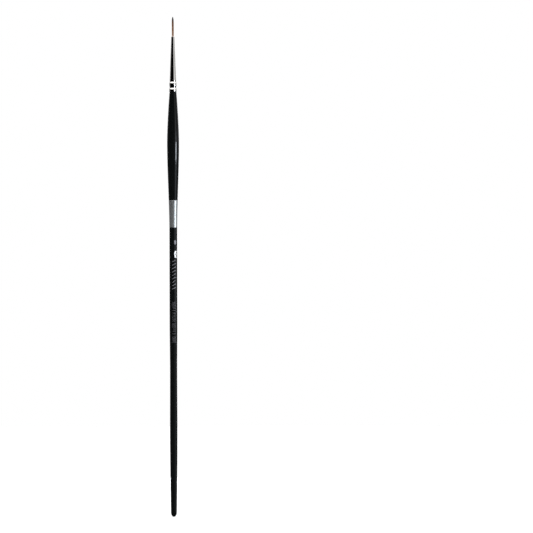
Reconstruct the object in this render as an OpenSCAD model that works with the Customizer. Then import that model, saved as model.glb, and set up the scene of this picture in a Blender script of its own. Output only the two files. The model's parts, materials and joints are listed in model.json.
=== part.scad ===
// Fine detail brush: a long turned wooden handle, a crimped metal ferrule and a small round tuft of hair.
// The brush stands upright on its axis: the butt's end is at the origin and the hair points along +Z.

/* [Overall] */
// Length from the butt to the tip of the hair
overall_len = 300; // [285:5:320]
// Length of the ferrule
ferrule_len = 33; // [33:1:36]
// Length of the hair that shows
hair_len = 12; // [9:0.5:14]

/* [Handle] */
// Diameter where the handle meets the ferrule
neck_d = 4.15; // [3.95:0.05:4.15]
// Diameter at the fullest part of the grip
grip_d = 7.2; // [6.4:0.1:8]
// Distance from the ferrule back to the fullest part of the grip
grip_back = 30; // [26:1:34]
// Diameter of the straight shank
shank_d = 4.65; // [4.55:0.05:5]
// Height of the shank's lower end
shank_z = 116; // [105:1:116]
// Length of the straight shank
shank_len = 54; // [30:1:54]
// Diameter at the slim waist below the shank
waist_d = 4.3; // [4:0.1:4.5]
// Height of the waist
waist_z = 88; // [75:1:95]
// Diameter at the tail's slight swell
tail_d = 4.5; // [4.2:0.1:4.6]
// Height of the tail's swell
tail_z = 50; // [40:1:60]
// Diameter where the butt starts to round over
butt_d = 3.52; // [3.1:0.02:3.8]
// Length of the butt's rounded end
butt_round = 2.4; // [1.5:0.1:3]
// Length of the tenon inside the ferrule
tenon_len = 16; // [12:1:17]

/* [Finish] */
// Thickness of the many dipped coats of lacquer, and of the band
coat = 0.2; // [0.18:0.01:0.22]
// Height of the silver band's lower edge
band_z = 173.5; // [171:0.5:176]
// Length of the silver band
band_len = 16.3; // [10:0.1:20]

/* [Ferrule] */
// Diameter of the rear lip
lip_d = 4.44; // [4.4:0.02:4.6]
// Diameter of the bead between the two crimps
bead_d = 4.26; // [4.1:0.02:4.4]
// Diameter in the rear crimp
rear_crimp_d = 3.84; // [3.76:0.02:3.96]
// Diameter in the front crimp
front_crimp_d = 3.66; // [3.62:0.02:3.72]
// Diameter where the long taper starts
taper_d = 3.82; // [3.76:0.02:3.92]
// Diameter at the mouth
mouth_d = 1.86; // [1.86:0.02:1.96]
// Wall thickness at the rear lip
rear_wall = 0.25; // [0.2:0.01:0.26]
// Wall thickness at the mouth, where the tube is drawn smallest
mouth_wall = 0.28; // [0.24:0.01:0.28]

/* [Hair] */
// Diameter of the tuft
tuft_d = 1.22; // [1.1:0.02:1.22]
// Length over which the tuft narrows to its tip
tip_len = 4; // [3:0.5:6]
// Diameter of the bundle of roots
root_d = 1.27; // [1.23:0.01:1.28]
// Diameter of the thread that binds the roots
thread_d = 0.2; // [0.16:0.02:0.2]
// Turns of thread
thread_turns = 3; // [2:1:3]

/* [Hidden] */

handle_len = overall_len - ferrule_len - hair_len;
shank_top = shank_z + shank_len;
band_top = band_z + band_len;
grip_z = handle_len - grip_back;
mouth_z = handle_len + ferrule_len;

neck_r = neck_d / 2;
grip_r = grip_d / 2;
shank_r = shank_d / 2;
waist_r = waist_d / 2;
tail_r = tail_d / 2;
butt_r = butt_d / 2;
lip_r = lip_d / 2;
bead_r = bead_d / 2;
rear_crimp_r = rear_crimp_d / 2;
front_crimp_r = front_crimp_d / 2;
taper_r = taper_d / 2;
mouth_r = mouth_d / 2;
tuft_r = tuft_d / 2;
root_r = root_d / 2;
thread_r = thread_d / 2;

// Heights above the ferrule's rear edge, from the rear lip to the start of the long taper
lip_h = 1.2;
rear_crimp_h = 2.45;
bead_h = 3.9;
bead_top_h = 4.9;
front_crimp_h = 6.1;
taper_h = 6.75;
nose_r = mouth_wall / 2;

// The glue fills what is left between the tenon and the ferrule
glue = lip_r - rear_wall - (neck_r - coat);

// Heights above the ferrule's rear edge of what is inside it
resin_h = 19;
resin_top_h = 24.5;
root_h = 19.5;
thread_h = 24.95;
knot_r = 0.12;

// The tuft bends about a point just above the mouth. Its round base sits in a cup in the roots.
flex_gap = 0.35;
flex_z = mouth_z + flex_gap;
cup_gap = 0.04;
cup_drop = 0.25;

// Steps along one curved stretch of an outline
fine = 10;
coarse = 5;

function ease(t) = t * t * (3 - 2 * t);
function mix(a, b, t) = a + (b - a) * t;
function along(z, low, high) = (z - low) / (high - low);
function steps(low, high, n) = [for (i = [0:n - 1]) mix(low, high, i / n)];

// Radius of the finished handle at height z, above the rounded butt
function handle_r(z) =
    z < tail_z ? mix(tail_r, butt_r, pow(1 - along(z, butt_round, tail_z), 1.5)) :
    z < waist_z ? mix(tail_r, waist_r, ease(along(z, tail_z, waist_z))) :
    z < shank_z ? mix(waist_r, shank_r, ease(along(z, waist_z, shank_z))) :
    z < shank_top ? shank_r :
    z < grip_z ? mix(shank_r, grip_r, ease(along(z, shank_top, grip_z))) :
    mix(grip_r, neck_r, pow(along(z, grip_z, handle_len), 1.5));

// Radius of the ferrule's outside, h above its rear edge
function ferrule_r(h) =
    h < lip_h ? lip_r :
    h < rear_crimp_h ? mix(lip_r, rear_crimp_r, ease(along(h, lip_h, rear_crimp_h))) :
    h < bead_h ? mix(rear_crimp_r, bead_r, ease(along(h, rear_crimp_h, bead_h))) :
    h < bead_top_h ? bead_r :
    h < front_crimp_h ? mix(bead_r, front_crimp_r, ease(along(h, bead_top_h, front_crimp_h))) :
    h < taper_h ? mix(front_crimp_r, taper_r, ease(along(h, front_crimp_h, taper_h))) :
    mix(taper_r, mouth_r, along(h, taper_h, ferrule_len - nose_r));

function bore_r(h) = ferrule_r(h) - mix(rear_wall, mouth_wall, h / ferrule_len);
function tenon_r(h) = bore_r(h) - glue;

// Heights of an outline's points on each stretch of the handle and the ferrule
rear_heights = concat(
    steps(butt_round, tail_z, fine),
    steps(tail_z, waist_z, coarse),
    steps(waist_z, shank_z, coarse),
    [shank_z, shank_top, band_z]
);
band_heights = concat(steps(band_z, band_top, coarse), [band_top]);
front_heights = concat(
    steps(band_top, grip_z, fine),
    steps(grip_z, handle_len, fine),
    [handle_len]
);
crimp_heights = concat(
    [0, lip_h],
    steps(lip_h, rear_crimp_h, coarse),
    steps(rear_crimp_h, bead_h, coarse),
    [bead_h],
    steps(bead_top_h, front_crimp_h, coarse),
    steps(front_crimp_h, taper_h, coarse),
    [taper_h]
);

function reversed(points) = [for (i = [len(points) - 1:-1:0]) points[i]];

// Outline of the handle over some heights, sunk below the finished surface
function handle_line(heights, sunk) = [for (z = heights) [handle_r(z) - sunk, z]];

// Outline of the rounded butt, up to where the handle's own curve starts
function butt_line(sunk) = [
    for (i = [0:fine - 1])
        let (a = 90 * i / fine)
        [(butt_r - sunk) * sin(a), butt_round - (butt_round - sunk) * cos(a)]
];

function ferrule_line(heights) = [for (h = heights) [ferrule_r(h), handle_len + h]];
function bore_line(heights) = [for (h = heights) [bore_r(h), handle_len + h]];
function tenon_line(heights) = [for (h = heights) [tenon_r(h), handle_len + h]];

module turned(outline) {
    rotate_extrude() polygon(outline);
}

// A coat of finish between two heights
module coat_ring(heights) {
    turned(concat(handle_line(heights, 0), reversed(handle_line(heights, coat))));
}

// Turned hardwood, with a tenon that carries the two crimps pressed into it
module handle_core() {
    color("burlywood") turned(concat(
        butt_line(coat),
        handle_line(concat(rear_heights, band_heights, front_heights), coat),
        tenon_line(crimp_heights),
        [[tenon_r(tenon_len), handle_len + tenon_len], [0, handle_len + tenon_len]]
    ));
}

module rear_lacquer() {
    color("black") turned(concat(
        butt_line(0), handle_line(rear_heights, 0),
        reversed(handle_line(rear_heights, coat)), reversed(butt_line(coat))
    ));
}

module silver_band() {
    color("silver") coat_ring(band_heights);
}

module front_lacquer() {
    color("black") coat_ring(front_heights);
}

// Seamless plated tube with two rolled crimps and a rounded mouth
module ferrule() {
    nose_z = mouth_z - nose_r;
    nose = [
        for (i = [1:coarse - 1])
            let (a = 180 * i / coarse)
            [mouth_r - nose_r + nose_r * cos(a), nose_z + nose_r * sin(a)]
    ];
    nose_h = ferrule_len - nose_r;
    color("gainsboro") turned(concat(
        ferrule_line(concat(crimp_heights, [nose_h])),
        nose,
        [[mouth_r - mouth_wall, nose_z]],
        reversed(bore_line(crimp_heights))
    ));
}

// Film of glue between the tenon and the ferrule
module handle_glue() {
    heights = concat(crimp_heights, [tenon_len]);
    color("khaki") turned(concat(bore_line(heights), reversed(tenon_line(heights))));
}

// Cured resin that locks the roots in the ferrule
module root_resin() {
    low = handle_len + root_h;
    color("goldenrod") turned(concat(
        [[0, handle_len + resin_h]],
        bore_line([resin_h, resin_top_h]),
        [[root_r, handle_len + resin_top_h], [root_r, low], [0, low]]
    ));
}

// Waxed thread wound round the roots, with its knot
module binding_thread() {
    winding_r = root_r + thread_r + 0.01;
    color("ivory") translate([0, 0, handle_len + thread_h]) {
        for (turn = [0:thread_turns - 1])
            translate([0, 0, turn * thread_d * 0.9])
                rotate_extrude() translate([winding_r, 0]) circle(thread_r);
        translate([winding_r + thread_r / 2, 0, (thread_turns - 1) * thread_d * 0.45])
            sphere(knot_r);
    }
}

// The part of the hair that the ferrule holds, with a cup for the tuft's base
module hair_root() {
    low = handle_len + root_h;
    color("saddlebrown") difference() {
        translate([0, 0, low]) cylinder(h = flex_z - cup_drop - low, r = root_r);
        translate([0, 0, flex_z]) sphere(tuft_r + cup_gap);
    }
}

// The hair that shows: a slim round tuft that narrows over its last third
module hair_tuft() {
    tip = [
        for (i = [0:fine])
            let (a = 90 * i / fine)
            [tuft_r * cos(a), overall_len - tip_len + tip_len * sin(a)]
    ];
    color("peru") union() {
        translate([0, 0, flex_z]) sphere(tuft_r);
        turned(concat([[0, flex_z], [tuft_r, flex_z]], tip));
    }
}

handle_core();
rear_lacquer();
silver_band();
front_lacquer();
ferrule();
handle_glue();
root_resin();
binding_thread();
hair_root();
hair_tuft();
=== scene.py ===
"""Fine detail brush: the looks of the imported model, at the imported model's own place and size.

The brush stands upright on the Z axis with its hair at the top. Sizes are in metres.
"""

import json
import math
import random
from functools import partial
from itertools import accumulate

import bpy
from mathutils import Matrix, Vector

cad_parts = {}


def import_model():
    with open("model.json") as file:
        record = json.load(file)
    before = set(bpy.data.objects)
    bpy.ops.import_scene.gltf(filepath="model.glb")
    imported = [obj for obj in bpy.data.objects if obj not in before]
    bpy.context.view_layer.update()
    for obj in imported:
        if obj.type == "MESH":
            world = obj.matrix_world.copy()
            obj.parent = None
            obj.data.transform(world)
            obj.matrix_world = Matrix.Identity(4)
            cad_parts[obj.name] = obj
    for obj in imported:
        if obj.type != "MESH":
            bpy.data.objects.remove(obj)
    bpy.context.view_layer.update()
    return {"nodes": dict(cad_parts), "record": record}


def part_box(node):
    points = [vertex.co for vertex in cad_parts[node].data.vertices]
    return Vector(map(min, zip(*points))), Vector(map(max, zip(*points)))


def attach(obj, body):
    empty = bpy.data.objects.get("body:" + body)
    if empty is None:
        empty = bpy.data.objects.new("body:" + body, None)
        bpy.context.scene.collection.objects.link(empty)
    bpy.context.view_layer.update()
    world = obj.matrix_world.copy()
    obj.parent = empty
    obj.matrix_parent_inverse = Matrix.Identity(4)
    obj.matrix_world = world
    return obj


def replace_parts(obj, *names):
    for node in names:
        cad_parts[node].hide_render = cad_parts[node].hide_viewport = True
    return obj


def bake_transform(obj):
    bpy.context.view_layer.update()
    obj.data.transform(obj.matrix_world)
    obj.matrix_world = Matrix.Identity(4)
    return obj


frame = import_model()

MM = 0.001
ON_AXIS = 1e-7
BODY = "brush"


# Sizes that the frame gives


def low(node):
    """Height of a node's lowest point."""
    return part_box(node)[0].z


def high(node):
    """Height of a node's highest point."""
    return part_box(node)[1].z


def widest(node):
    """Radius of a turned node at its widest."""
    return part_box(node)[1].x


shank = next(m for m in frame["record"]["mounts"] if m["name"] == "shank")
shank_top = shank["pos_m"][2] + shank["dims"]["length_mm"] * MM / 2

TIP_Z = high("hair_tuft")
TUFT_R = widest("hair_tuft")
MOUTH_Z = high("ferrule")
NECK_Z = low("ferrule")


# Outlines, as lists of (radius, height)

# A wall's faces point away from the axis, or towards it, by at least this much
WALL_LEAN = 0.02


def wall(node, facing=1):
    """A turned node's outer wall from low to high, or its inner wall if facing is -1."""
    mesh = frame["nodes"][node].data
    found = {}
    for face in mesh.polygons:
        leaning = facing * face.normal.xy.dot(face.center.xy.normalized())
        if leaning < WALL_LEAN:
            continue
        for index in face.vertices:
            point = mesh.vertices[index].co
            found[round(point.z / MM, 3)] = point.xy.length
    return [(found[z], z * MM) for z in sorted(found)]


def slopes(values, at):
    """Slope at each value, so that a cubic through them stays between its neighbours."""
    steps = zip(values, values[1:], at, at[1:])
    rates = [(v1 - v0) / (t1 - t0) for v0, v1, t0, t1 in steps]
    inner = [0 if a * b <= 0 else 2 * a * b / (a + b) for a, b in zip(rates, rates[1:])]
    return [rates[0], *inner, rates[-1]]


def cubic(v0, v1, m0, m1, span, t):
    """Hermite curve from v0 to v1, with slopes m0 and m1, at share t of the span."""
    start = v0 * (1 + 2 * t) + m0 * span * t
    end = v1 * (3 - 2 * t) + m1 * span * (t - 1)
    return start * (1 - t) ** 2 + end * t**2


def smoothed(points, step=1.6 * MM):
    """A smooth curve through the points, in pieces no longer than step and at least four to a gap."""
    gaps = [math.dist(a, b) for a, b in zip(points, points[1:])]
    at = [0, *accumulate(gaps)]
    axes = list(zip(*points))
    rates = [slopes(values, at) for values in axes]
    path = []
    for i, gap in enumerate(gaps):
        pieces = max(4, math.ceil(gap / step))
        for k in range(pieces):
            path.append(tuple(
                cubic(v[i], v[i + 1], m[i], m[i + 1], gap, k / pieces)
                for v, m in zip(axes, rates)
            ))
    return [*path, points[-1]]


def radius_at(path, height):
    """Radius of an outline at a height between two of its points."""
    for (r0, z0), (r1, z1) in zip(path, path[1:]):
        if z0 <= height <= z1:
            return r0 + (r1 - r0) * (height - z0) / (z1 - z0)
    raise ValueError(f"nothing is turned at height {height}")


def arc(centre, size, start, end, pieces=6):
    """Points of a round edge: size is its radius, and start and end are degrees from outwards to up."""
    turns = [math.radians(start + (end - start) * i / pieces) for i in range(pieces + 1)]
    return [(centre[0] + size * math.cos(a), centre[1] + size * math.sin(a)) for a in turns]


def eased(path, low_edge=0, high_edge=0):
    """An outer wall whose low and high edges are rounded by these radii."""
    (low_r, low_z), (high_r, high_z) = path[0], path[-1]
    kept = [p for p in path if low_z + low_edge <= p[1] <= high_z - high_edge]
    first, last = [], []
    if low_edge:
        first = arc((low_r - low_edge, low_z + low_edge), low_edge, -90, 0)[:-1]
    if high_edge:
        last = arc((high_r - high_edge, high_z - high_edge), high_edge, 0, 90)[1:]
    return [*first, *kept, *last]


# Meshes

# Edges stay sharp where faces meet at more than this
SHARP_ANGLE = math.radians(48)


def made(name, points, faces, material, floats=()):
    """A smooth piece from points and faces, with values for its points, its material and slot."""
    mesh = bpy.data.meshes.new(name)
    mesh.from_pydata(points, [], faces)
    for key, values in floats:
        mesh.attributes.new(key, "FLOAT", "POINT").data.foreach_set("value", values)
    mesh.shade_smooth()
    mesh.set_sharp_from_angle(angle=SHARP_ANGLE)
    mesh.materials.append(material)
    piece = bpy.data.objects.new(name, mesh)
    bpy.context.collection.objects.link(piece)
    return piece


def ring_faces(a, b, around):
    """Faces between two rings that start at points a and b."""
    turns = [(i, (i + 1) % around) for i in range(around)]
    return [(a + i, a + j, b + j, b + i) for i, j in turns]


def turned(name, outline, material, around=96):
    """A closed outline turned about Z, in order outside up and inside down. Axis points are poles."""
    points, starts = [], []
    for r, z in outline:
        starts.append(len(points))
        if r < ON_AXIS:
            points.append((0, 0, z))
            continue
        angles = [2 * math.pi * i / around for i in range(around)]
        points += [(r * math.cos(a), r * math.sin(a), z) for a in angles]
    poles = [r < ON_AXIS for r, _ in outline]
    faces = []
    for i, (a, b) in enumerate(zip(starts, starts[1:] + starts[:1])):
        at_a, at_b = poles[i], poles[(i + 1) % len(poles)]
        if at_a and at_b:
            continue
        if at_a:
            faces += [(a, b + (k + 1) % around, b + k) for k in range(around)]
        elif at_b:
            faces += [(a + k, a + (k + 1) % around, b) for k in range(around)]
        else:
            faces += ring_faces(a, b, around)
    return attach(made(name, points, faces, material), BODY)


# Materials


def add_node(tree, kind, links=(), **settings):
    """A shader node with settings, and links or values for its inputs."""
    node = tree.nodes.new(kind)
    for key, value in settings.items():
        setattr(node, key, value)
    for key, value in dict(links).items():
        if isinstance(value, bpy.types.NodeSocket):
            tree.links.new(value, node.inputs[key])
        else:
            node.inputs[key].default_value = value
    return node


class Look:
    """A material under construction: its shader and short ways to add to it."""

    def __init__(self, name, **constants):
        self.material = bpy.data.materials.new(name)
        self.material.use_nodes = True
        self.tree = self.material.node_tree
        self.shader = self.tree.nodes["Principled BSDF"]
        self.add = partial(add_node, self.tree)
        self.place = self.add("ShaderNodeTexCoord").outputs["Object"]
        for key, value in constants.items():
            self.shader.inputs[key.replace("_", " ")].default_value = value

    def stretched(self, across, along):
        """Object coordinates, scaled across the brush and along it."""
        links = {"Vector": self.place, "Scale": (across, across, along)}
        return self.add("ShaderNodeMapping", links).outputs["Vector"]

    def noise(self, across, along, detail=3, roughness=0.5):
        """Noise with this many waves per metre across and along the brush."""
        links = {
            "Vector": self.stretched(across, along),
            "Scale": 1,
            "Detail": detail,
            "Roughness": roughness,
        }
        return self.add("ShaderNodeTexNoise", links).outputs["Fac"]

    def spread(self, value, low_value, high_value, start=0.3, end=0.7):
        """The value taken from start..end to low_value..high_value, smoothly."""
        links = {"Value": value, 1: start, 2: end, 3: low_value, 4: high_value}
        node = self.add("ShaderNodeMapRange", links, interpolation_type="SMOOTHSTEP")
        return node.outputs["Result"]

    def mixed(self, share, first, second):
        """A colour from first to second."""
        node = self.add("ShaderNodeMix", {0: share}, data_type="RGBA")
        for index, colour in ((6, first), (7, second)):
            if isinstance(colour, bpy.types.NodeSocket):
                self.tree.links.new(colour, node.inputs[index])
            else:
                node.inputs[index].default_value = (*colour, 1)
        return node.outputs[2]

    def ramp(self, value, stops):
        """A colour by value, through (position, colour) stops."""
        node = self.add("ShaderNodeValToRGB", {"Fac": value})
        ramp = node.color_ramp
        ramp.interpolation = "EASE"
        while len(ramp.elements) < len(stops):
            ramp.elements.new(0.5)
        for element, (position, colour) in zip(ramp.elements, stops):
            element.position = position
            element.color = (*colour, 1)
        return node.outputs["Color"]

    def attribute(self, name):
        """A value that the mesh holds for each of its points."""
        return self.add("ShaderNodeAttribute", attribute_name=name).outputs["Fac"]

    def bump(self, value, height):
        """Relief of this height in metres, on top of any relief that is there already."""
        links = {"Height": value, "Distance": height}
        normal = self.shader.inputs["Normal"]
        if normal.is_linked:
            links["Normal"] = normal.links[0].from_socket
        self.use("Normal", self.add("ShaderNodeBump", links).outputs["Normal"])

    def use(self, key, value):
        """Drive one of the shader's inputs by a value."""
        self.tree.links.new(value, self.shader.inputs[key])


def lacquer_look():
    """Glossy black lacquer, dipped in many coats, with a trace of flow and handling marks."""
    look = Look("black_lacquer", IOR=1.5, Specular_IOR_Level=0.2)
    flow = look.noise(240, 40, detail=1)
    haze = look.noise(900, 220, detail=5, roughness=0.7)
    look.use("Base Color", look.mixed(haze, (0.0026, 0.0032, 0.0032), (0.0052, 0.006, 0.006)))
    look.use("Roughness", look.spread(haze, 0.05, 0.085))
    look.bump(flow, 1.2e-6)
    return look.material


def nickel_look():
    """Bright nickel plate over a drawn tube: fine draw lines along it and a soft cloud of wear."""
    look = Look("nickel_plate", Metallic=1.0)
    cloud = look.noise(420, 90, detail=4)
    lines = look.noise(9000, 90, detail=2)
    look.use("Base Color", look.mixed(cloud, (0.78, 0.755, 0.715), (0.84, 0.82, 0.785)))
    look.use("Roughness", look.spread(cloud, 0.05, 0.09))
    look.bump(lines, 0.4e-6)
    return look.material


def band_look():
    """Silver paint, sprayed on while the handle turned, so its flakes lie in faint rings."""
    look = Look("silver_paint", Metallic=0.95)
    rings = look.noise(60, 5200, detail=3)
    flakes = look.noise(16000, 16000, detail=2)
    tint = look.mixed(flakes, (0.6, 0.62, 0.63), (0.72, 0.74, 0.74))
    look.use("Base Color", look.mixed(look.spread(rings, 0, 0.35), tint, (0.55, 0.57, 0.59)))
    look.use("Roughness", look.spread(rings, 0.38, 0.42))
    look.bump(rings, 0.5e-6)
    look.bump(flakes, 0.15e-6)
    return look.material


def foil_look(name, thin, full, metallic):
    """Hot-stamped foil between two colours, a little thin and broken in places."""
    look = Look(name, Metallic=metallic)
    worn = look.noise(4200, 4200, detail=4, roughness=0.65)
    grain = look.noise(20000, 20000, detail=2)
    look.use("Base Color", look.mixed(look.spread(worn, 0, 1, 0.35, 0.6), thin, full))
    look.use("Roughness", look.spread(worn, 0.4, 0.28))
    look.bump(grain, 3e-6)
    return look.material


WOOD_COLOURS = [
    (0.3, (0.34, 0.19, 0.09)),
    (0.5, (0.55, 0.36, 0.2)),
    (0.72, (0.68, 0.5, 0.31)),
]


def wood_look():
    """Turned hardwood: long grain with darker pores."""
    look = Look("turned_hardwood", Roughness=0.6)
    grain = look.noise(900, 28, detail=6, roughness=0.6)
    pores = look.noise(5200, 130, detail=3)
    base = look.ramp(grain, WOOD_COLOURS)
    pored = look.spread(pores, 0, 0.4, 0.55, 0.7)
    look.use("Base Color", look.mixed(pored, base, (0.2, 0.1, 0.045)))
    look.bump(pores, 3e-5)
    return look.material


def glue_look():
    """Hardened glue, cloudy and yellow."""
    look = Look("glue_film", Roughness=0.4)
    cloud = look.noise(1400, 700, detail=4)
    look.use("Base Color", look.mixed(cloud, (0.55, 0.4, 0.16), (0.75, 0.62, 0.34)))
    look.bump(cloud, 2e-5)
    return look.material


def resin_look():
    """Cured resin, amber and glassy, with clouds where it soaked into the roots."""
    look = Look("cured_resin", Roughness=0.15, IOR=1.54)
    cloud = look.noise(2400, 900, detail=5)
    look.use("Base Color", look.mixed(cloud, (0.34, 0.15, 0.03), (0.62, 0.36, 0.1)))
    look.bump(cloud, 1.5e-5)
    return look.material


def thread_look():
    """Waxed linen thread."""
    look = Look("waxed_thread", Roughness=0.55)
    fibre = look.noise(9000, 9000, detail=4)
    look.use("Base Color", look.mixed(fibre, (0.52, 0.45, 0.32), (0.8, 0.74, 0.6)))
    look.bump(fibre, 2e-5)
    return look.material


HAIR_COLOURS = [
    (0.0, (0.47, 0.33, 0.25)),
    (0.14, (0.36, 0.2, 0.12)),
    (0.36, (0.26, 0.115, 0.045)),
    (0.68, (0.19, 0.072, 0.024)),
    (0.8, (0.065, 0.028, 0.014)),
    (0.88, (0.008, 0.006, 0.006)),
]


def hair_look():
    """Natural hair: pale at the base, brown along its body, nearly black at the tip."""
    look = Look("natural_hair", IOR=1.55, Specular_IOR_Level=0.36)
    streaks = look.noise(6000, 160, detail=4)
    shade = look.attribute("shade")
    colour = look.ramp(look.attribute("along"), HAIR_COLOURS)
    dark = look.add("ShaderNodeHueSaturation", {"Color": colour, "Value": 0.45, "Saturation": 1.25})
    body = look.mixed(shade, dark.outputs["Color"], colour)
    pale = look.add("ShaderNodeHueSaturation", {"Color": body, "Value": 1.25, "Saturation": 0.9})
    look.use("Base Color", look.mixed(look.spread(streaks, 0, 0.8), body, pale.outputs["Color"]))
    look.use("Roughness", look.spread(streaks, 0.36, 0.5))
    look.bump(streaks, 4e-6)
    return look.material


# Handle and ferrule

LACQUER = lacquer_look()
NICKEL = nickel_look()
SILVER = band_look()
FOIL = foil_look("bright_foil", (0.8, 0.8, 0.8), (0.96, 0.96, 0.96), metallic=0.8)
INK = foil_look("grey_ink", (0.09, 0.09, 0.1), (0.24, 0.24, 0.26), metallic=0.4)
HAIR = hair_look()

# How far edges are rounded, and how finely the ferrule's curves are cut
COAT_EDGE = 0.14 * MM
BAND_EDGE = 0.05 * MM
LIP_EDGE = 0.1 * MM
FERRULE_STEP = 0.6 * MM


def coat(name, node, material, low_edge, high_edge):
    """A coat of finish round the core, smooth from end to end."""
    outer = eased(smoothed(wall(node)), low_edge, high_edge)
    inner = wall(node, facing=-1)
    piece = turned(name, outer + inner[::-1], material)
    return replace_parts(piece, node)


def ferrule():
    """The plated tube with its rolled crimps, its rounded rear lip and its rolled mouth."""
    outer = eased(smoothed(wall("ferrule"), FERRULE_STEP), low_edge=LIP_EDGE)
    inner = smoothed(wall("ferrule", facing=-1), FERRULE_STEP)
    piece = turned("ferrule_tube", outer + inner[::-1], NICKEL)
    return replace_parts(piece, "ferrule")


coat("rear_coat", "rear_lacquer", LACQUER, 0, BAND_EDGE)
coat("front_coat", "front_lacquer", LACQUER, BAND_EDGE, COAT_EDGE)
coat("silver_ring", "silver_band", SILVER, BAND_EDGE, BAND_EDGE)
ferrule()


def inner_pieces():
    """Looks for the pieces inside the brush, which keep their CAD shapes."""
    looks = {
        "handle_core": wood_look(),
        "handle_glue": glue_look(),
        "root_resin": resin_look(),
        "binding_thread": thread_look(),
    }
    for node, look in looks.items():
        materials = frame["nodes"][node].data.materials
        materials.clear()
        materials.append(look)


inner_pieces()


# Marks: plain foil shapes where the real handle is stamped

# The foil stands this far above the lacquer and reaches this far into it
FOIL_FILM = 0.012 * MM
FOIL_SUNK = 0.006 * MM
REAR_WALL = smoothed(wall("rear_lacquer"))


def on_handle(across, height, lift):
    """The point this far across (round the handle from its front) and up, and above the lacquer."""
    r = radius_at(REAR_WALL, height)
    angle = across / r
    return ((r + lift) * math.sin(angle), -(r + lift) * math.cos(angle), height)


def film(rows, closed):
    """Points and faces of a thin solid over a grid of (across, height).

    closed joins each row's ends.
    """
    count, width = len(rows), len(rows[0])
    flat = [p for row in rows for p in row]
    points = [on_handle(*p, FOIL_FILM) for p in flat] + [on_handle(*p, -FOIL_SUNK) for p in flat]
    under = len(flat)
    last = width if closed else width - 1

    def at(i, k):
        return i * width + k % width

    faces = []
    for i in range(count - 1):
        for k in range(last):
            face = (at(i, k), at(i, k + 1), at(i + 1, k + 1), at(i + 1, k))
            faces += [face, tuple(under + v for v in face[::-1])]
    edges = [(at(0, k + 1), at(0, k)) for k in range(last)]
    edges += [(at(count - 1, k), at(count - 1, k + 1)) for k in range(last)]
    if not closed:
        edges += [(at(i, 0), at(i + 1, 0)) for i in range(count - 1)]
        edges += [(at(i + 1, width - 1), at(i, width - 1)) for i in range(count - 1)]
    faces += [(b, a, under + a, under + b) for a, b in edges]
    return points, faces


def stamped(name, films, foil=INK):
    """One piece from several films."""
    points, faces = [], []
    for more_points, more_faces in films:
        faces += [tuple(len(points) + v for v in face) for face in more_faces]
        points += more_points
    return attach(made(name, points, faces, foil), BODY)


def stroke(start, end, width, pieces=10):
    """A straight stroke with round ends, from start to end."""
    (x0, z0), (x1, z1) = start, end
    length = math.dist(start, end)
    ux, uz = (x1 - x0) / length, (z1 - z0) / length
    half = width / 2
    rows = []
    for i in range(pieces + 1):
        t = (1 - math.cos(math.pi * i / pieces)) / 2 * (length + width) - half
        inset = max(-t, t - length, 0)
        side = max(math.sqrt(max(half**2 - inset**2, 0)), half * 0.12)
        cx, cz = x0 + ux * t, z0 + uz * t
        rows.append([(cx + uz * side * s, cz - ux * side * s) for s in (-1, -0.5, 0, 0.5, 1)])
    return film(rows, closed=False)


def oval(centre, size, steps=20):
    """A filled oval of this half width and half height."""
    rows = []
    for i in range(steps + 1):
        angle = math.radians(-88 + 176 * i / steps)
        side, up = size[0] * math.cos(angle), size[1] * math.sin(angle)
        rows.append([(centre[0] + side * s, centre[1] + up) for s in (-1, -0.6, -0.2, 0.2, 0.6, 1)])
    return film(rows, closed=False)


def oval_ring(centre, size, open_share, around=48, rings=4):
    """An oval of this half width and half height, open in the middle."""
    rows = []
    for i in range(rings + 1):
        share = 1 - (1 - open_share) * i / rings
        angles = [2 * math.pi * k / around for k in range(around)]
        points = [(size[0] * share * math.cos(a), size[1] * share * math.sin(a)) for a in angles]
        rows.append([(centre[0] + x, centre[1] + z) for x, z in points])
    return film(rows, closed=True)


GAP_SHARE = 0.12


def bars(low_z, high_z, left, right, pitch, width, chance):
    """Crosswise bars in a column, each a little different, with a gap here and there."""
    films = []
    z = low_z
    while z < high_z:
        if chance.random() > GAP_SHARE:
            start = left + chance.uniform(0, 0.25) * (right - left)
            end = right - chance.uniform(0, 0.2) * (right - left)
            films.append(stroke((start, z), (end, z), width))
        z += pitch
    return films


STROKES = 9

# Each group of bars: how far its top is below the shank's, and how long it is, in mm
BAR_GROUPS = ((41, 5.2), (47.6, 5), (54, 4.6), (60.2, 5))


def marks():
    """A dot, an oval badge, a row of slanted strokes and four groups of crosswise bars."""
    chance = random.Random(11)
    dot_z = shank_top - 5.4 * MM
    badge_at = (2.2 * MM, shank_top - 12.6 * MM)
    strokes_top = shank_top - 16.6 * MM
    strokes_len = 16.4 * MM
    stamped("mark_dot", [oval((1.15 * MM, dot_z), (0.62 * MM, 1.4 * MM))])
    badge = [
        oval_ring(badge_at, (1.65 * MM, 2.25 * MM), open_share=0.6),
        oval(badge_at, (0.7 * MM, 0.95 * MM)),
    ]
    stamped("mark_badge", badge, FOIL)
    slanted = []
    middle, rise, pen = 0.35 * MM, 0.5 * MM, 0.42 * MM
    for i in range(STROKES):
        z = strokes_top - strokes_len * i / (STROKES - 1)
        reach = 0.95 * MM * chance.uniform(0.7, 1.15)
        slanted.append(stroke((middle - reach, z - rise), (middle + reach, z + rise), pen))
    stamped("mark_strokes", slanted)
    rows = []
    for group_top, group_len in BAR_GROUPS:
        end = shank_top - group_top * MM
        rows += bars(
            end - group_len * MM,
            end,
            left=-0.9 * MM,
            right=1.5 * MM,
            pitch=0.62 * MM,
            width=0.15 * MM,
            chance=chance,
        )
    stamped("mark_bars", rows)


marks()


# Hair

STRANDS = 190
STRAND_R = 0.04 * MM
STRAND_SIDES = 7
STRAND_RINGS = 30

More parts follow.
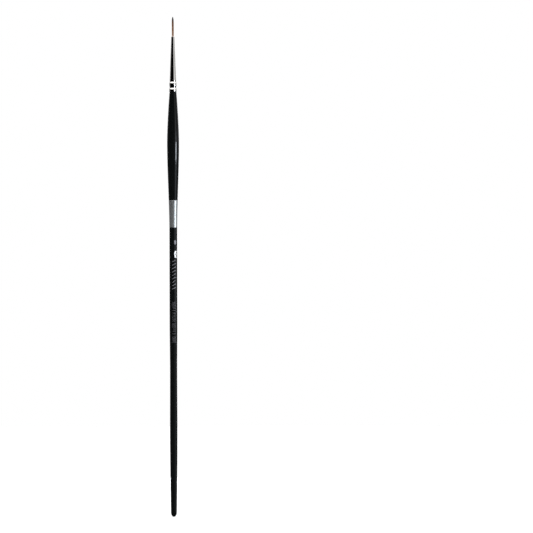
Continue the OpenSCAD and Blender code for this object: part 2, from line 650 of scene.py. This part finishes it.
# The power by which a strand's rings crowd towards its end
RINGS_CROWD = 1.7

# The tuft narrows over this length, and its tip leans to the left
TIP_LEN = 4 * MM
TIP_LEAN = -0.05 * MM

# How far in mm a hair ends below the tip: at the rim, more on the left, by chance and for a stray
SHORT_RIM = 0.2
SHORT_LEFT = 0.16
SHORT_CHANCE = 0.08
SHORT_STRAY = (0.6, 2.2)
STRAY_SHARE = 0.04

# Hairs outside this share of the tuft's radius stand a little loose
LOOSE_FROM = 0.8
LOOSE_BY = (0.97, 1.03)

# Each hair thins by this share over its last stretch
THIN_BY = 0.5
THIN_LEN = 1.2 * MM
ROOT_Z = low("hair_root")
PACK_R = TUFT_R - STRAND_R * 0.9


def tuft_share(height):
    """The tuft's radius at a height, as a share of its full radius."""
    past = max(0.0, 1 - (TIP_Z - height) / TIP_LEN)
    return math.sqrt(max(0.0, 1 - past * past))


def strand(index, chance):
    """Centres and radii of one hair from its root to its own end."""
    share = math.sqrt((index + 0.5) / STRANDS)
    turn = index * math.pi * (3 - math.sqrt(5)) + chance.uniform(-0.1, 0.1)
    swirl = chance.uniform(-0.35, 0.35)
    left = max(0.0, -math.cos(turn)) * share
    short = SHORT_RIM * share**2 + SHORT_LEFT * left + abs(chance.gauss(0, SHORT_CHANCE))
    if chance.random() < STRAY_SHARE:
        short += chance.uniform(*SHORT_STRAY)
    end = TIP_Z - short * MM
    loose = chance.uniform(*LOOSE_BY) if share > LOOSE_FROM else 1
    centres, radii = [], []
    for i in range(STRAND_RINGS):
        t = i / (STRAND_RINGS - 1)
        z = ROOT_Z + (end - ROOT_Z) * (1 - (1 - t) ** RINGS_CROWD)
        free = max(0.0, (z - MOUTH_Z) / (TIP_Z - MOUTH_Z))
        r = PACK_R * share * (1 + (loose - 1) * free) * tuft_share(z)
        angle = turn + swirl * free
        lean = TIP_LEAN * free**3
        centres.append((r * math.cos(angle) + lean, r * math.sin(angle), z))
        past = max(0.0, 1 - (end - z) / THIN_LEN)
        radii.append(STRAND_R * (1 - THIN_BY * past**2))
    return centres, radii


def tuft():
    """Every hair of the tuft as one mesh, from the roots in the ferrule to the tip."""
    chance = random.Random(7)
    points, faces, along, shade = [], [], [], []
    angles = [2 * math.pi * k / STRAND_SIDES for k in range(STRAND_SIDES)]
    for index in range(STRANDS):
        centres, radii = strand(index, chance)
        tone = min(1.0, max(0.0, chance.gauss(0.62, 0.27)))
        first = len(points)
        for (x, y, z), r in zip(centres, radii):
            points += [(x + r * math.cos(a), y + r * math.sin(a), z) for a in angles]
            along += [max(0.0, (z - MOUTH_Z) / (TIP_Z - MOUTH_Z))] * STRAND_SIDES
            shade += [tone] * STRAND_SIDES
        starts = range(first, len(points), STRAND_SIDES)
        for a, b in zip(starts, starts[1:]):
            faces += ring_faces(a, b, STRAND_SIDES)
        faces.append(tuple(range(first, first + STRAND_SIDES))[::-1])
        faces.append(tuple(range(starts[-1], starts[-1] + STRAND_SIDES)))
    floats = (("along", along), ("shade", shade))
    piece = made("hair", points, faces, HAIR, floats)
    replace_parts(piece, "hair_tuft", "hair_root")
    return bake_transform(piece)


tuft()


# Studio


def world():
    """A dark studio with soft cards round it. The camera itself sees plain white behind the brush."""
    made_world = bpy.data.worlds.new("studio")
    bpy.context.scene.world = made_world
    made_world.use_nodes = True
    tree = made_world.node_tree
    tree.nodes.clear()

    add = partial(add_node, tree)

    def maths(operation, *values):
        return add("ShaderNodeMath", enumerate(values), operation=operation).outputs[0]

    def step(value, start, end):
        links = {"Value": value, 1: start, 2: end}
        node = add("ShaderNodeMapRange", links, interpolation_type="SMOOTHSTEP")
        return node.outputs["Result"]

    def between(value, first, last, soft):
        """1 from first to last degrees, falling to 0 over soft degrees on both sides."""
        rise = step(value, first - soft, first)
        return maths("MULTIPLY", rise, step(value, last + soft, last))

    view = add("ShaderNodeSeparateXYZ", {0: add("ShaderNodeTexCoord").outputs["Generated"]})
    x, y, z = view.outputs
    azimuth = maths("DEGREES", maths("ARCTAN2", x, maths("MULTIPLY", y, -1)))
    elevation = maths("DEGREES", maths("ARCSINE", z))

    light = None
    for lamp in LAMPS:
        first, last, soft = lamp["azimuth"]
        patch = between(azimuth, first, last, soft)
        if "elevation" in lamp:
            first, last, soft = lamp["elevation"]
            patch = maths("MULTIPLY", patch, between(elevation, first, last, soft))
        colour = add("ShaderNodeVectorMath", {0: lamp["colour"], "Scale": patch}, operation="SCALE")
        if light is None:
            light = colour.outputs[0]
        else:
            total = add("ShaderNodeVectorMath", {0: light, 1: colour.outputs[0]}, operation="ADD")
            light = total.outputs[0]
    lit = add("ShaderNodeBackground", {"Color": light, "Strength": 1})
    plain = add("ShaderNodeBackground", {"Color": (1, 1, 1, 1), "Strength": 1})
    seen = add("ShaderNodeLightPath").outputs["Is Camera Ray"]
    chosen = add("ShaderNodeMixShader", {0: seen, 1: lit.outputs[0], 2: plain.outputs[0]})
    add("ShaderNodeOutputWorld", {0: chosen.outputs[0]})


COOL = (0.9, 0.98, 1.08)


def grey(level, tint=(1, 1, 1)):
    """A lamp's colour at a level of brightness."""
    return tuple(level * t for t in tint)


# Each lamp: degrees round from the camera to the right, degrees up, both as (first, last, soft edge)
LAMPS = [
    {"azimuth": (-200, 200, 1), "elevation": (24, 95, 7), "colour": grey(1.45)},
    {"azimuth": (37, 74, 4), "elevation": (2, 17, 3), "colour": grey(0.68)},
    {"azimuth": (34, 90, 5), "elevation": (-5, 2, 2), "colour": grey(0.5, COOL)},
    {"azimuth": (92, 200, 6), "elevation": (-95, 17, 4), "colour": grey(0.08)},
    {"azimuth": (-200, -102, 6), "elevation": (-95, 17, 4), "colour": grey(0.08)},
    {"azimuth": (104, 134, 20), "elevation": (3, 17, 2), "colour": grey(0.5)},
    {"azimuth": (-134, -112, 20), "elevation": (3, 17, 2), "colour": grey(0.14)},
    {"azimuth": (168, 200, 14), "elevation": (-95, 17, 4), "colour": grey(0.4)},
    {"azimuth": (-200, -168, 14), "elevation": (-95, 17, 4), "colour": grey(0.4)},
]
world()

# Area lamps, at this distance from the axis
STRIP_AWAY = 0.5
STRIP_WIDTH = 0.13

# The tall lamp to the right, with one short part that glares: (lowest, highest, radiance) of each
KEY_AZIMUTH = 60
KEY_STRIP = [
    (0.09, 0.17, 1.9),
    (0.17, 0.205, 2.2),
    (0.205, 0.235, 33.0),
    (0.235, 0.272, 4.0),
    (0.272, 0.3, 1.5),
    (0.3, 0.9, 0.4),
]

# The even lamp straight behind the brush, for the views from the sides and the back
BACK_AZIMUTH = 180
BACK_STRIP = [(0.02, 0.6, 3.0)]


def strip(name, azimuth, parts):
    """A lamp's parts, one above another, turned to face the brush."""
    turn = math.radians(azimuth)
    away = Vector((math.sin(turn), -math.cos(turn), 0))
    for i, (low_z, high_z, radiance) in enumerate(parts):
        data = bpy.data.lights.new(f"{name}_{i}", "AREA")
        data.shape = "RECTANGLE"
        data.size = STRIP_WIDTH
        data.size_y = high_z - low_z
        data.color = COOL
        data.energy = radiance * math.pi * data.size * data.size_y
        lamp = bpy.data.objects.new(data.name, data)
        lamp.location = away * STRIP_AWAY + Vector((0, 0, (low_z + high_z) / 2))
        lamp.rotation_euler = (-away).to_track_quat("-Z", "Y").to_euler()
        lamp.visible_camera = False
        bpy.context.collection.objects.link(lamp)


strip("key_strip", KEY_AZIMUTH, KEY_STRIP)
strip("back_strip", BACK_AZIMUTH, BACK_STRIP)


def floor():
    """A plain white floor that the butt stands on."""
    half = 1.5
    corners = [(-half, -half, 0), (half, -half, 0), (half, half, 0), (-half, half, 0)]
    mesh = bpy.data.meshes.new("floor")
    mesh.from_pydata(corners, [], [(0, 1, 2, 3)])
    look = Look("white_floor", Roughness=0.9, Specular_IOR_Level=0.0)
    look.use("Base Color", look.mixed(look.noise(3, 3), (0.88, 0.88, 0.88), (0.9, 0.9, 0.9)))
    mesh.materials.append(look.material)
    plane = bpy.data.objects.new("floor", mesh)
    bpy.context.collection.objects.link(plane)
    plane.visible_glossy = False


floor()


# The camera stands at mid-height, to the right of the brush, which puts the brush left of the middle
EYE = (0.05588, -2.665, 0.15)
ROLL = math.radians(0.135)
LENS = 300
SENSOR = 36


def camera():
    """A long lens that looks straight ahead."""
    data = bpy.data.cameras.new("camera")
    data.sensor_width = SENSOR
    data.lens = LENS
    eye = bpy.data.objects.new("camera", data)
    eye.location = EYE
    eye.rotation_euler = (math.radians(90), ROLL, 0)
    bpy.context.collection.objects.link(eye)
    bpy.context.scene.camera = eye


camera()
bpy.context.scene.view_settings.view_transform = "Standard"
